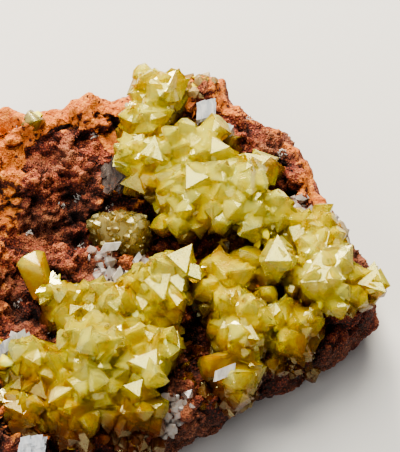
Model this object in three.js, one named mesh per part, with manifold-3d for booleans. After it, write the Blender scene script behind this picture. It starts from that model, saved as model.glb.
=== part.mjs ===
// Adamite on limonite: a small-cabinet mineral specimen that lies on its flat broken back.
// Millimetres, +Z up. The crystals grow on the upper face, and the near edge (-Y) is the low one.
// The rock is one lumpy solid with vugs. Each intergrown crystal group is one solid that sits in a
// shallow socket in the rock, and single crystals that touch no others are solids of their own.
import * as THREE from "three";
import { ConvexGeometry } from "three/addons/geometries/ConvexGeometry.js";
import { mergeVertices } from "three/addons/utils/BufferGeometryUtils.js";
import Module from "manifold-3d";

const wasm = await Module();
wasm.setup();

// ---------------------------------------------------------------- driving dimensions

const GAP = 0.3; // clear space between a crystal group and the rock it sits in

// Plan outline of the rock at its widest, counter-clockwise from the right-hand end.
const ROCK_OUTLINE = [
  [31.3, -0.4], [29.2, 12], [26.4, 17.2], [22.9, 23.4], [21.4, 28], [17.9, 33], [13, 34.9],
  [10.4, 37.2], [9.6, 41.4], [4, 42.4], [-1.4, 41.6], [-6.4, 38.6], [-14.5, 37.2], [-19.5, 32.8],
  [-25, 33], [-30, 30.6], [-33.5, 24.5], [-35.5, 13], [-35, 2], [-34, -9], [-31.5, -18.5],
  [-25.5, -26.5], [-17, -28.6], [-8, -26], [0, -21.6], [5.2, -18], [12, -14], [19.5, -10.2],
  [24, -7], [28.4, -3.6],
];
const OUTLINE_STEPS = 48;

// Side profile from the flat back up to the rim: share of the outline's reach, and height.
const SIDE_PROFILE = [[0.84, 0], [0.95, 1.8], [1, 5.8], [0.985, 9.2], [0.935, 11.6]];
const GIRTH_HEIGHT = 6.6; // height at which the rock is widest
const TOP_RINGS = 7; // rings from the rim in to the middle of the upper face
const TOP_START = 0.87; // the outermost of them, as a share of the outline's reach
const TOP_CROWDING = 1.4; // above 1 the rings crowd towards the rim, where most of the relief is
const TOP_HEIGHT = 13.2;
const NEAR_FALL = { towards: [0.5, -0.86], from: 9, slope: 0.22 }; // drop to the near right edge

// Rough relief of the rock: spacing of its lumps and how far they rise.
const ROCK_SEED = 11;
const BROAD_RELIEF = { spacing: 6, rise: 1.3 };
const FINE_RELIEF = { spacing: 2.7, rise: 0.8 };

// Hollows in the upper face: centre, half lengths, turn in degrees, depth.
const HOLLOWS = [
  { at: [1, 11], half: [20, 6.2], turn: -14, depth: 4.8 },
  { at: [6.2, -6], half: [4.2, 11], turn: -8, depth: 4.4 },
  { at: [-18, 12.6], half: [9, 4.4], turn: -6, depth: 3.4 },
  { at: [-22.5, 4], half: [4.5, 5.4], turn: 20, depth: 2.6 },
  { at: [3.6, 32.5], half: [3.4, 4.4], turn: 0, depth: 4.2 },
  { at: [-10, 27], half: [7, 2.4], turn: 24, depth: 2.8 },
  { at: [15.6, 21.4], half: [10, 3], turn: -47, depth: 2.6 },
];

// Rounded lumps of limonite on the skin: centre, radius and rise.
const LUMPS = [
  [-11.4, 31, 11.6, 6, 3.8], [-21.6, 30, 11, 6.2, 3.8], [-13.8, 24.4, 12.6, 4, 4],
  [-17.4, 20.6, 12.6, 3.8, 3.6], [-22.4, 19.4, 12.4, 4.6, 4.2], [-28.4, 19.6, 11.6, 5.4, 4.2],
  [-10.8, 17.4, 11.6, 3.6, 3.4], [-26.8, 5.6, 12, 5, 4], [-28.4, -8, 11, 6, 4],
  [3, 36.6, 12, 6, 1.2], [-30, 29, 9, 5.6, 3], [-25, -21, 10, 5.4, 3],
];

// Form of an adamite crystal.
const ROOF_SLOPE = THREE.MathUtils.degToRad(36); // slope of the {101} faces from level
const ROOT_SHARE = 0.8; // width at the root, as a share of the width at the tip
const RIDGE_SHARE = 0.5; // length of a blunt crystal's ridge, as a share of a sharp one's
const SHOULDER_DROP = 0.3; // how far its shoulders stand below the ridge, as a share of halfY
const BARREL_BULGE = 1.1; // how far its waist swells

// How the crystals of a dome vary, as shares of the dome's reach unless in degrees.
const GOLDEN_ANGLE = 137.5;
const LARGEST_LEAN = 82;
const LEAN_SCATTER = [-5, 5];
const HEADING_SCATTER = [-12, 12];
const TIP_DISTANCE = [0.96, 1.12];
const CRYSTAL_WIDTH = [0.8, 1.18]; // divided by the root of how many crystals the dome has
const CRYSTAL_DEPTH = [0.8, 1.2]; // share of the crystal's own width
const CRYSTAL_LENGTH = 0.9;
const CORE_WIDTH = 0.92; // half width of a dome's solid middle, which also shapes its socket
const CORE_SINK = 1; // how far below the dome's centre its middle sits, in millimetres

// Clusters of crystals. Each dome is a radiating ball of crystals: centre, reach, how many crystals.
// Each single crystal in a cluster is placed by the middle of its top edge, the way it leans, how far
// it leans, its turn about its own axis, its half widths and its length.
const UPPER_CLUSTER = {
  seed: 21,
  domes: [
    [-1.2, 34.8, 14.6, 5, 4], [-3.2, 29.2, 14.6, 4.4, 3], [-3.6, 22, 14.8, 5.4, 4],
    [3.6, 22.6, 15, 5.4, 4], [2.2, 16.4, 14.2, 4.8, 3], [10.4, 16.6, 15, 6.4, 6],
    [15.8, 13.4, 14.2, 4.4, 2],
  ],
  singles: [
    [3.2, 17.1, 20.2, 180, 36, 0, 2.7, 2.1, 8], [7, 22.6, 20.2, 175, 36, 0, 2.2, 1.5, 8],
    [12.6, 20.6, 18.4, 200, 34, 0, 2.8, 1.9, 8], [-1.4, 33.2, 19.4, 200, 36, 0, 1.8, 1.5, 7],
    [14.6, 11.4, 17.6, 330, 50, 10, 2.2, 2, 7], [7.2, 12.6, 17.8, 262, 56, 10, 2.4, 2.1, 7],
  ],
};
const LOWER_CLUSTER = {
  seed: 32,
  domes: [
    [-14.8, -1, 13.4, 4.4, 3], [-8.6, -2.4, 13.2, 5.6, 4], [-1.8, 0.4, 13.8, 5, 3],
    [-19.6, -10.8, 12.4, 5.6, 3], [-10.4, -10.4, 13.6, 7, 6], [-2, -8.6, 13.2, 5.6, 3],
    [-5, -16, 12.4, 5.2, 3], [-13.6, -18.6, 12, 5.4, 3], [-21, -18.2, 11.4, 4.8, 3],
  ],
  singles: [
    [-0.9, -12.6, 18.6, 0, 36, 0, 3.3, 2, 9], [2.2, -8.4, 17.2, 8, 36, 0, 2.9, 1.5, 8],
    [-3.1, -16.4, 17.7, 352, 36, 0, 2.1, 1.4, 8], [3.7, 3.9, 19, 350, 36, 0, 2.7, 2.5, 10],
    [3, 0.9, 17.6, 350, 36, 0, 2, 1.9, 9], [-0.6, 5.2, 18, 100, 52, 40, 2.6, 2.4, 9],
  ],
};
const RIGHT_CLUSTER = {
  seed: 47,
  domes: [
    [9.2, 3, 13.2, 5, 4], [15, 4.6, 13, 4, 2], [21.6, 10.2, 13, 4.7, 3],
    [23.4, 3.2, 14, 6, 4], [11.4, -4.6, 12.8, 6.2, 4], [19, -4.4, 12, 5.2, 3],
    [10.4, -12, 10.8, 4.8, 3],
  ],
  singles: [
    [16.6, 2.8, 20.2, 270, 36, 0, 3.6, 2, 9], [31.6, 2.2, 16.6, 15, 36, 0, 3.2, 2.7, 9],
    [23, -0.6, 20.4, 275, 38, 0, 3.8, 3.3, 9], [9.4, -14.2, 16.6, 200, 30, 20, 1.5, 1.3, 7],
    [11.6, -8.6, 18, 262, 40, 0, 2.6, 2.2, 8], [22.6, 8.4, 18.2, 110, 36, 0, 2.4, 1.9, 7],
  ],
};
const MIDDLE_CLUSTER = {
  seed: 58,
  domes: [[-8.4, 12.2, 11.4, 3.8, 3], [-5.2, 12, 11.6, 4.4, 3]],
  singles: [],
};

// Crystals that stand apart. Same numbers as a single crystal in a group.
const LONE_CRYSTAL = [-19.9, 5.6, 17.6, 116, 50, 12, 2.7, 2.5, 7.2];
const EDGE_CRYSTAL = [-20.8, 28.6, 17, 250, 34, 30, 2, 2, 6];

// Calcite: cleavage rhombs given by centre, the three edge lengths, and turns about X, Y and Z.
const CALCITES = {
  grey_calcite: { at: [-7.4, 20.8, 14.4], edges: [4.6, 2.2, 6], turn: [-52, 18, -28], tint: 0x75655c },
  white_calcite_back: { at: [6.2, 32, 14.4], edges: [3, 3, 2.6], turn: [24, -12, 12], tint: 0xbfc0bd },
  white_calcite_rim: { at: [8.4, 28.8, 14.6], edges: [4, 1.6, 2.4], turn: [10, -20, -18], tint: 0xd9d9d4 },
  white_calcite_left: { at: [-21.6, -8.6, 14.6], edges: [4.8, 3.4, 2.8], turn: [24, 30, 34], tint: 0xc9cabd },
  white_calcite_near: { at: [-18.6, -23.4, 12.2], edges: [4, 3, 4.4], turn: [30, -10, 8], tint: 0xe2e3da },
};
const CALCITE_LEAN = 0.27; // shear of a cleavage rhomb, from its 75 degree face angle

const FINISH = {
  limonite: new THREE.MeshStandardMaterial({ color: 0x9a4f2c, roughness: 0.92, metalness: 0 }),
  adamite: new THREE.MeshStandardMaterial({ color: 0xc9b83a, roughness: 0.14, metalness: 0 }),
};

// ---------------------------------------------------------------- small tools

// Repeatable random numbers from 0 to 1.
function seededRandom(seed) {
  let state = seed >>> 0;
  return () => {
    state = (state + 0x6d2b79f5) >>> 0;
    let t = Math.imul(state ^ (state >>> 15), 1 | state);
    t = (t + Math.imul(t ^ (t >>> 7), 61 | t)) ^ t;
    return ((t ^ (t >>> 14)) >>> 0) / 4294967296;
  };
}

function latticeValue(i, j, k) {
  let h = Math.imul(i, 374761393) ^ Math.imul(j, 668265263) ^ Math.imul(k, 2147483647 - ROCK_SEED);
  h = Math.imul(h ^ (h >>> 13), 1274126177);
  return ((h ^ (h >>> 16)) >>> 0) / 4294967296;
}

// Smooth noise from -1 to 1 whose lumps are one unit apart.
function noise(x, y, z) {
  const [i, j, k] = [Math.floor(x), Math.floor(y), Math.floor(z)];
  const ease = (t) => t * t * (3 - 2 * t);
  const [u, v, w] = [ease(x - i), ease(y - j), ease(z - k)];
  let sum = 0;
  for (const [di, wi] of [[0, 1 - u], [1, u]])
    for (const [dj, wj] of [[0, 1 - v], [1, v]])
      for (const [dk, wk] of [[0, 1 - w], [1, w]])
        sum += wi * wj * wk * latticeValue(i + di, j + dj, k + dk);
  return 2 * sum - 1;
}

// Rough rock relief in millimetres: broad lumps with smaller ones on them.
function relief(p) {
  const lumps = ({ spacing, rise }, shift) =>
    rise * noise(p.x / spacing + shift, p.y / spacing, p.z / spacing);
  return lumps(BROAD_RELIEF, 0) + lumps(FINE_RELIEF, 40);
}

// How far the highest lump lifts the skin at a point.
function lumpRise(p) {
  const rises = LUMPS.map(([x, y, z, radius, rise]) => {
    const away = Math.hypot(p.x - x, p.y - y, p.z - z) / radius;
    return rise * (1 - away * away);
  });
  return Math.max(0, ...rises);
}

function solidOf(geometry) {
  const bare = geometry.index ? geometry.toNonIndexed() : geometry.clone();
  bare.deleteAttribute("normal");
  bare.deleteAttribute("uv");
  const merged = mergeVertices(bare, 1e-4);
  return new wasm.Manifold(
    new wasm.Mesh({
      numProp: 3,
      vertProperties: new Float32Array(merged.attributes.position.array),
      triVerts: new Uint32Array(merged.index.array),
    }),
  );
}

function geometryOf(solid) {
  const mesh = solid.getMesh();
  const positions = new Float32Array(mesh.numVert * 3);
  for (let i = 0; i < mesh.numVert; i++)
    positions.set(mesh.vertProperties.subarray(i * mesh.numProp, i * mesh.numProp + 3), i * 3);
  const geometry = new THREE.BufferGeometry();
  geometry.setAttribute("position", new THREE.BufferAttribute(positions, 3));
  geometry.setIndex(new THREE.BufferAttribute(new Uint32Array(mesh.triVerts), 1));
  geometry.computeVertexNormals();
  return geometry;
}

function joined(solids) {
  return solids.reduce((whole, next) => whole.add(next));
}

function largestBody(solid) {
  return solid.decompose().sort((a, b) => b.volume() - a.volume())[0];
}

// What is left of a solid once others are cut out of it.
function keepApart(solid, others) {
  return largestBody(others.reduce((left, other) => left.subtract(other), solid));
}

function namedMesh(name, solid, material) {
  const mesh = new THREE.Mesh(geometryOf(solid), material);
  mesh.name = name;
  return mesh;
}

// ---------------------------------------------------------------- the rock

const outlineCurve = new THREE.CatmullRomCurve3(
  ROCK_OUTLINE.map(([x, y]) => new THREE.Vector3(x, y, 0)),
  true,
  "centripetal",
);
const ROCK_MIDDLE = new THREE.Vector3(-2, 4, 0);

// Height of the upper face before relief: a plateau with hollows, falling to the near right edge.
function plateauHeight(x, y) {
  const { towards, from, slope } = NEAR_FALL;
  let height = TOP_HEIGHT - slope * Math.max(0, towards[0] * x + towards[1] * y - from);
  for (const { at, half, turn, depth } of HOLLOWS) {
    const angle = THREE.MathUtils.degToRad(turn);
    const [dx, dy] = [x - at[0], y - at[1]];
    const along = (dx * Math.cos(angle) + dy * Math.sin(angle)) / half[0];
    const across = (dy * Math.cos(angle) - dx * Math.sin(angle)) / half[1];
    const reach = Math.hypot(along, across);
    if (reach < 1) height -= depth * Math.cos((reach * Math.PI) / 2);
  }
  return height;
}

// A point of the rock's skin. The flat back stays flat, and swell moves the rest outwards.
function skinPoint(rim, share, height, swell) {
  const p = ROCK_MIDDLE.clone().lerp(rim, share);
  p.z = height ?? plateauHeight(p.x, p.y);
  if (p.z <= 0) return p;
  const outward = new THREE.Vector3(0, 0, 1);
  if (height !== undefined) {
    const aboveGirth = height / GIRTH_HEIGHT - 1;
    outward.copy(rim).sub(ROCK_MIDDLE).normalize().multiplyScalar(1 - 0.6 * Math.abs(aboveGirth));
    outward.z = Math.max(0, aboveGirth);
    outward.normalize();
  }
  return p.addScaledVector(outward, relief(p) + lumpRise(p) + swell);
}

// Triangles between two rings of points that run round the same way with different counts.
function zipRings(faces, lower, upper) {
  let [i, j] = [0, 0];
  while (i < lower.length || j < upper.length) {
    const [a, b] = [lower[i % lower.length], upper[j % upper.length]];
    if ((i + 1) / lower.length <= (j + 1) / upper.length) {
      faces.push(a, lower[(i + 1) % lower.length], b);
      i++;
    } else {
      faces.push(a, upper[(j + 1) % upper.length], b);
      j++;
    }
  }
}

function rockBase(swell) {
  const points = [];
  const ringOf = (share, height) => {
    const steps = Math.max(8, Math.round(OUTLINE_STEPS * Math.min(1, share / TOP_START)));
    const rim = outlineCurve.getSpacedPoints(steps).slice(0, steps);
    return rim.map((q) => points.push(skinPoint(q, share, height, swell)) - 1);
  };
  const rings = SIDE_PROFILE.map(([share, height]) => ringOf(share, height));
  for (let i = 0; i < TOP_RINGS; i++) rings.push(ringOf(TOP_START * (1 - (i / TOP_RINGS) ** TOP_CROWDING)));
  const under = points.push(ROCK_MIDDLE.clone()) - 1;
  const top = points.push(skinPoint(ROCK_MIDDLE, 0, undefined, swell)) - 1;
  const faces = [];
  for (let k = 0; k + 1 < rings.length; k++) zipRings(faces, rings[k], rings[k + 1]);
  const [first, last] = [rings[0], rings.at(-1)];
  first.forEach((a, i) => faces.push(under, first[(i + 1) % first.length], a));
  last.forEach((a, i) => faces.push(a, last[(i + 1) % last.length], top));
  const geometry = new THREE.BufferGeometry().setFromPoints(points);
  geometry.setIndex(faces);
  return solidOf(geometry);
}

// The faceted middle of a dome, which ties its crystals together. The rock's sockets have its shape.
function domeCore([x, y, z, reach], grow = 0) {
  const core = new THREE.IcosahedronGeometry(1, 0);
  core.scale(CORE_WIDTH * reach + grow, CORE_WIDTH * reach + grow, reach + grow);
  core.translate(x, y, z - CORE_SINK);
  return solidOf(core);
}

// The clusters that have grown into one solid.
const GROUPS = {
  arching_crystals: [UPPER_CLUSTER, RIGHT_CLUSTER],
  lower_crystals: [LOWER_CLUSTER],
  middle_crystals: [MIDDLE_CLUSTER],
};

// The rock with its sockets. Swelling it by the gap gives the shape that clears what sits on it.
function rock(swell) {
  const domes = Object.values(GROUPS).flatMap((clusters) => clusters.flatMap(({ domes }) => domes));
  return largestBody(rockBase(swell).subtract(joined(domes.map((dome) => domeCore(dome, -swell)))));
}

// ---------------------------------------------------------------- crystals

// An adamite crystal about the origin: a near-square {110} prism along Z, capped by a {101} roof
// whose ridge runs along Y at height 0. The root tapers, and a blunt crystal has its ridge's ends
// and its side edges cut off, which makes it barrel-shaped.
function adamiteForm(halfX, halfY, length, blunt) {
  const eaves = -halfX * Math.tan(ROOF_SLOPE);
  const shoulder = blunt ? -SHOULDER_DROP * halfY : 0;
  const [rootX, rootY] = [halfX * ROOT_SHARE, halfY * ROOT_SHARE];
  const points = [
    [halfX, 0, eaves], [-halfX, 0, eaves], [0, halfY, shoulder], [0, -halfY, shoulder],
    [rootX, 0, -length], [-rootX, 0, -length], [0, rootY, -length], [0, -rootY, -length],
  ];
  if (blunt) {
    const [ridge, waist] = [RIDGE_SHARE * halfY, BARREL_BULGE * halfX];
    points.push([0, ridge, 0], [0, -ridge, 0], [waist, 0, -length / 2], [-waist, 0, -length / 2]);
  }
  return new ConvexGeometry(points.map((p) => new THREE.Vector3(...p)));
}

// A crystal set in place: lean tips its axis from vertical towards heading, turn spins it on its axis.
// Growing one moves its faces out, and a square prism's edges then move out by root two times as much.
function placedCrystal([x, y, z, heading, lean, turn, halfX, halfY, length], blunt = false, grow = 0) {
  const edge = Math.SQRT2 * grow;
  const form = adamiteForm(halfX + edge, halfY + edge, length + 2 * grow, blunt);
  const rad = THREE.MathUtils.degToRad;
  form.translate(0, 0, grow);
  form.rotateZ(rad(turn));
  form.rotateY(rad(lean));
  form.rotateZ(rad(heading));
  form.translate(x, y, z);
  return solidOf(form);
}

// Crystals that radiate from a dome's centre over its upper side, spread on a golden-angle spiral.
function domeCrystals([x, y, z, reach, count], random) {
  const within = ([low, high]) => low + (high - low) * random();
  const crystals = [];
  for (let i = 0; i < count; i++) {
    const lean = LARGEST_LEAN * Math.sqrt((i + 0.35) / count) + within(LEAN_SCATTER);
    const heading = i * GOLDEN_ANGLE + within(HEADING_SCATTER);
    const [a, b] = [THREE.MathUtils.degToRad(lean), THREE.MathUtils.degToRad(heading)];
    const tip = reach * within(TIP_DISTANCE);
    const width = (reach * within(CRYSTAL_WIDTH)) / Math.sqrt(count);
    const [out, up] = [tip * Math.sin(a), tip * Math.cos(a)];
    const end = [x + out * Math.cos(b), y + out * Math.sin(b), z + up];
    const size = [width, width * within(CRYSTAL_DEPTH), tip * CRYSTAL_LENGTH];
    crystals.push(placedCrystal([...end, heading, lean, 180 * random(), ...size]));
  }
  return crystals;
}

function crystalsOf(cluster) {
  const random = seededRandom(cluster.seed);
  return [
    ...cluster.domes.map((dome) => domeCore(dome)),
    ...cluster.domes.flatMap((dome) => domeCrystals(dome, random)),
    ...cluster.singles.map((single) => placedCrystal(single)),
  ];
}

function calciteRhomb({ at, edges, turn }, grow = 0) {
  const block = new THREE.BoxGeometry(...edges.map((edge) => edge + 2 * grow));
  const shear = new THREE.Matrix4().set(
    1, CALCITE_LEAN, CALCITE_LEAN, 0, 0, 1, CALCITE_LEAN, 0, 0, 0, 1, 0, 0, 0, 0, 1,
  );
  block.applyMatrix4(shear);
  const rad = THREE.MathUtils.degToRad;
  block.applyMatrix4(new THREE.Matrix4().makeRotationFromEuler(new THREE.Euler(...turn.map(rad))));
  block.translate(...at);
  return solidOf(block);
}

// ---------------------------------------------------------------- the specimen

const specimen = new THREE.Group();
const rockSolid = rock(0);
const rockCleared = rock(GAP);
specimen.add(namedMesh("limonite_matrix", rockSolid, FINISH.limonite));

const calcitesCleared = [];
for (const [name, spec] of Object.entries(CALCITES)) {
  const solid = largestBody(calciteRhomb(spec).subtract(rockCleared));
  const finish = new THREE.MeshStandardMaterial({ color: spec.tint, roughness: 0.2, metalness: 0 });
  specimen.add(namedMesh(name, solid, finish));
  calcitesCleared.push(calciteRhomb(spec, GAP));
}

const standingApart = { lone_crystal: LONE_CRYSTAL, edge_crystal: EDGE_CRYSTAL };
const apartCleared = Object.values(standingApart).map((crystal) => placedCrystal(crystal, true, GAP));
for (const [name, crystal] of Object.entries(standingApart)) {
  const solid = keepApart(placedCrystal(crystal, true), [rockCleared, ...calcitesCleared]);
  specimen.add(namedMesh(name, solid, FINISH.adamite));
}

for (const [name, clusters] of Object.entries(GROUPS)) {
  const grown = joined(clusters.flatMap(crystalsOf));
  const solid = keepApart(grown, [rockCleared, ...calcitesCleared, ...apartCleared]);
  specimen.add(namedMesh(name, solid, FINISH.adamite));
}

// The origin is the middle of the bounding box's underside.
const bounds = new THREE.Box3().setFromObject(specimen);
const middle = bounds.getCenter(new THREE.Vector3());
specimen.position.set(-middle.x, -middle.y, -bounds.min.z);

export default specimen;
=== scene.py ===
"""Adamite on limonite: the finish of a loose mineral specimen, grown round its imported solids."""

import math
from functools import partial

import bmesh
import bpy
from bpy.props import FloatProperty, FloatVectorProperty, IntProperty, PointerProperty
from bpy.types import Operator, Panel, PropertyGroup
from mathutils import Euler, Matrix, Vector, noise


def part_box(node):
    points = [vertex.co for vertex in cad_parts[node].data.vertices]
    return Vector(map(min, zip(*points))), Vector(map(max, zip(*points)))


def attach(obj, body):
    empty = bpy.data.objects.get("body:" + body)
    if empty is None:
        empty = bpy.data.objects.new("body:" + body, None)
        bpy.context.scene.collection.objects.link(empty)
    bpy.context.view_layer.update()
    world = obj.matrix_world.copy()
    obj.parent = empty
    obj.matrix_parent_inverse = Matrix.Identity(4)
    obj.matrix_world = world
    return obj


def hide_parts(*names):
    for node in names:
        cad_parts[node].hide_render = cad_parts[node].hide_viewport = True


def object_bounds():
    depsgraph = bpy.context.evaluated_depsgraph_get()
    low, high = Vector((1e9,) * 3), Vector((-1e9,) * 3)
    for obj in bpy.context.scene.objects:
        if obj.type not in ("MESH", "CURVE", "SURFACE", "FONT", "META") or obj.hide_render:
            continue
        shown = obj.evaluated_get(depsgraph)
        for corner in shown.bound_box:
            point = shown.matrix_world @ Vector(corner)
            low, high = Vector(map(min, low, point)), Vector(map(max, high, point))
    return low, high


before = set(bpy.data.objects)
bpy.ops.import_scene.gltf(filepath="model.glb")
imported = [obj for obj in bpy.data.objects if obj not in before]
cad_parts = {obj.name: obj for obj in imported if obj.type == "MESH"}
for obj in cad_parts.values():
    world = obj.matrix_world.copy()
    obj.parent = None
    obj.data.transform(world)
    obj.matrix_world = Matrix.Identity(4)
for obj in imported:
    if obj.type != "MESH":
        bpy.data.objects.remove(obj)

bl_info = {
    "name": "Adamite specimen",
    "version": (1, 0, 0),
    "blender": (4, 5, 0),
    "location": "3D View > Sidebar > Specimen",
    "description": "Grows the crystals, the rock skin and the studio round the specimen's solids",
    "category": "Object",
}

CAD_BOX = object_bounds()
MM = 0.001
CEILING = CAD_BOX[1][2] + 0.5 * MM  # crystals end below this height
BARE_SHARE = 0.68  # share of the arching group's width within which broad level faces stay bare
NOWHERE = -1.0  # a limit in metres that is left of the whole specimen
PROUD = 1.1  # the relief of pieces that stand clear of the rock
LEVEL = 0.9985  # a face with more than this share of its facing upwards is level
CRUMB = 120.0  # a loose part with fewer points than this is a crumb
STEP_SPACING = 0.16  # least distance between calcite steps, as a share of the fragment's diagonal
LONE_NODES = ("lone_crystal", "edge_crystal")

# How each solid is rounded off: the size of its faces, and how many times they are softened.
ROUNDING = {
    "arching_crystals": (0.8 * MM, 10), "lower_crystals": (0.8 * MM, 10),
    "middle_crystals": (0.6 * MM, 30),
    "lone_crystal": (0.22 * MM, 3), "edge_crystal": (0.22 * MM, 3),
}
# The size of a cloud's faces, in a group, in a lone crystal or the dome, and in a druse.
GROUP_CELL, LONE_CELL, DRUSE_CELL = 0.34 * MM, 0.42 * MM, 0.35 * MM
DRUSE_CLOUD_DEPTH = 0.3 * MM

# Where crystals stand out from a group's edge, in thousandths of the rock's width and depth.
OUTGROWTHS = {
    "arching_crystals": (
        (560, 572), (587, 580), (617, 585), (640, 573), (666, 571), (693, 568),
        (720, 555), (627, 453), (620, 437), (627, 417), (930, 411), (908, 389),
        (573, 764), (600, 763), (627, 760), (875, 568), (908, 545),
    ),
    "lower_crystals": (
        (520, 280), (520, 245), (511, 206), (507, 192), (498, 164), (494, 155),
        (564, 418), (560, 397), (547, 383), (538, 361), (369, 148), (369, 130),
        (400, 190), (400, 178), (414, 160), (369, 105), (414, 148),
    ),
}

# Druses: name, kind, places in thousandths of the rock's width and depth, reach, least and
# greatest half width in millimetres, and how far the crystals stand up, in half widths.
DRUSES = (
    ("druse_by_dome", "colourless", (
        (399, 501), (431, 492), (413, 464), (461, 497),
    ), 2.8, 0.5, 1.2, 0.9),
    ("druse_on_rim", "colourless", (
        (831, 621), (864, 613), (897, 600), (808, 603), (919, 589), (853, 598),
    ), 2.8, 0.4, 1.0, 0.8),
    ("druse_near_side", "colourless", (
        (520, 179), (547, 172), (533, 151), (560, 187),
    ), 2.6, 0.5, 1.2, 1.0),
    ("druse_between", "yellow", (
        (657, 574), (709, 547), (764, 592), (808, 564), (870, 570), (685, 561),
    ), 3.2, 0.5, 1.2, 0.9),
    ("druse_in_arch", "yellow", (
        (764, 422), (731, 412), (798, 408), (767, 447), (826, 382),
    ), 3.6, 0.9, 1.8, 2.4),
    ("druse_low", "yellow", (
        (764, 294), (804, 283), (635, 218), (781, 325), (841, 326),
    ), 2.8, 0.6, 1.3, 1.0),
    ("druse_under_arch", "yellow", (
        (613, 458), (620, 421), (627, 395), (631, 368), (635, 348),
    ), 2.0, 0.7, 1.5, 1.8),
    ("druse_on_shoulder", "yellow", (
        (560, 842), (598, 840), (630, 832), (660, 818), (672, 790),
    ), 1.8, 0.7, 1.3, 1.6),
    ("druse_in_gap", "yellow", (
        (383, 252), (387, 167), (392, 142), (385, 210),
    ), 2.4, 0.8, 1.5, 2.0),
    ("druse_on_near_edge", "yellow", (
        (298, 150), (343, 105), (387, 110), (431, 120), (476, 112), (498, 100), (454, 95),
    ), 2.0, 0.6, 1.3, 1.6),
    ("druse_in_cavity", "yellow", ((586, 248), (598, 312)), 1.8, 0.35, 0.7, 0.8),
    ("crust_at_tip", "crust", (
        (564, 950), (587, 950), (609, 943), (627, 947), (587, 918), (569, 925),
    ), 2.4, 0.6, 1.3, 0.7),
    ("shards_in_vug", "shard", ((573, 884), (600, 864), (576, 856)), 2.2, 0.5, 1.1, 1.6),
    ("calcite_steps", "prism", (
        (214, 311), (232, 303), (250, 311), (265, 294), (223, 287),
    ), 0.6, 0.5, 1.0, 0.8),
    ("calcite_flecks", "prism", (
        (369, 808), (196, 812), (298, 637), (332, 664), (232, 581), (409, 642), (347, 564),
        (210, 416),
        (298, 337), (720, 883), (797, 771),
    ), 0.8, 0.1, 0.22, 0.6),
)

# Pieces that stand alone: name, kind, the piece below, place in thousandths of the rock's width
# and depth, half width in millimetres, lift in half widths and turn in radians.
SINGLES = (
    ("knob_in_druse", "knob", "limonite_skin", (449, 504), 1.5, 0.5, (0.0, 0.0, 0.4)),
    ("white_prism", "prism", "grown_arching_crystals", (662, 218), 1.25, 0.5, (0.5, 0.15, 0.5)),
    ("cream_prism", "prism", "limonite_skin", (471, 506), 0.75, 1.8, (0.3, 0.2, 1.1)),
    ("white_splinter", "prism", "limonite_skin", (430, 452), 0.85, 1.8, (0.5, -0.4, 0.9)),
    ("white_blade", "prism", "limonite_skin", (414, 520), 1.0, 1.6, (0.7, 0.1, 0.15)),
)


# ---------------------------------------------------------------- small tools


def linear(colour):
    """An sRGB hex colour as the linear colour that Blender's sockets take."""
    channels = [int(colour[i : i + 2], 16) / 255 for i in (1, 3, 5)]
    return (*(c / 12.92 if c <= 0.04045 else ((c + 0.055) / 1.055) ** 2.4 for c in channels), 1.0)


def add_node(tree, kind, inputs=(), stops=(), **settings):
    """Adds a node with its settings. Its kind leaves out the family.

    The inputs come in order or by name.
    An input is a value, an output socket, a node for its first output, or a list of any of these.
    """
    families = ("GeometryNode", "FunctionNode", "ShaderNode", "Node")
    if tree.type == "SHADER":
        families = ("ShaderNode",)
    node = tree.nodes.new(
        next(family + kind for family in families if hasattr(bpy.types, family + kind))
    )
    for name, value in settings.items():
        setattr(node, name, value)
    for name, given in inputs.items() if isinstance(inputs, dict) else enumerate(inputs):
        for value in given if isinstance(given, list) else [given]:
            if isinstance(value, bpy.types.Node):
                value = value.outputs[0]
            if isinstance(value, bpy.types.NodeSocket):
                tree.links.new(value, node.inputs[name])
            else:
                node.inputs[name].default_value = value
    for index, (place, colour) in enumerate(stops):
        elements = node.color_ramp.elements
        element = elements[index] if index < len(elements) else elements.new(place)
        element.position = place
        element.color = (*colour[:3], 1)
    return node


def mottle(place, size, detail=4.0, roughness=0.6, swirl=0.0):
    """What a noise takes to be about one size wide, in millimetres."""
    scale = 1 / (size * MM)
    return {
        "Vector": place, "Scale": scale, "Detail": detail,
        "Roughness": roughness, "Distortion": swirl,
    }


def spread(mesh, spacing, most, seed, chosen=True):
    """What points take to spread over a mesh: least distance apart, and most in a square metre."""
    return {
        "Mesh": mesh, "Distance Min": spacing, "Density Max": most,
        "Seed": seed, "Selection": chosen,
    }


def weighted(add, *terms):
    """Adds up values, each times its share. A share can be a value that varies too."""
    total = 0.0
    for value, share in terms:
        total = add("Math", (value, share, total), operation="MULTIPLY_ADD")
    return total


def all_hold(add, *tests):
    """Whether every test holds. Each is a value, a comparison and a limit."""
    held = True
    for value, comparison, limit in tests:
        test = add("Compare", (value, limit), operation=comparison)
        held = add("BooleanMath", (held, test), operation="AND")
    return held


def new_tree(name, sockets):
    """A Geometry Nodes tree with named inputs after its geometry, listed by their type."""
    tree = bpy.data.node_groups.new(name, "GeometryNodeTree")
    tree.interface.new_socket("Geometry", in_out="INPUT", socket_type="NodeSocketGeometry")
    for kind, labels in sockets.items():
        for label in labels:
            tree.interface.new_socket(label, in_out="INPUT", socket_type="NodeSocket" + kind)
    tree.interface.new_socket("Geometry", in_out="OUTPUT", socket_type="NodeSocketGeometry")
    return tree, partial(add_node, tree), add_node(tree, "GroupInput").outputs


def finish_tree(tree, geometry, material):
    """Ends a tree: instances are realized, and the material is set on the result."""
    realized = add_node(tree, "RealizeInstances", {"Geometry": geometry})
    dressed = add_node(tree, "SetMaterial", {"Geometry": realized, "Material": material})
    add_node(tree, "GroupOutput", {"Geometry": dressed})
    return tree


def new_piece(name, mesh):
    piece = bpy.data.objects.new(name, mesh)
    bpy.context.scene.collection.objects.link(piece)
    return piece


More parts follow.
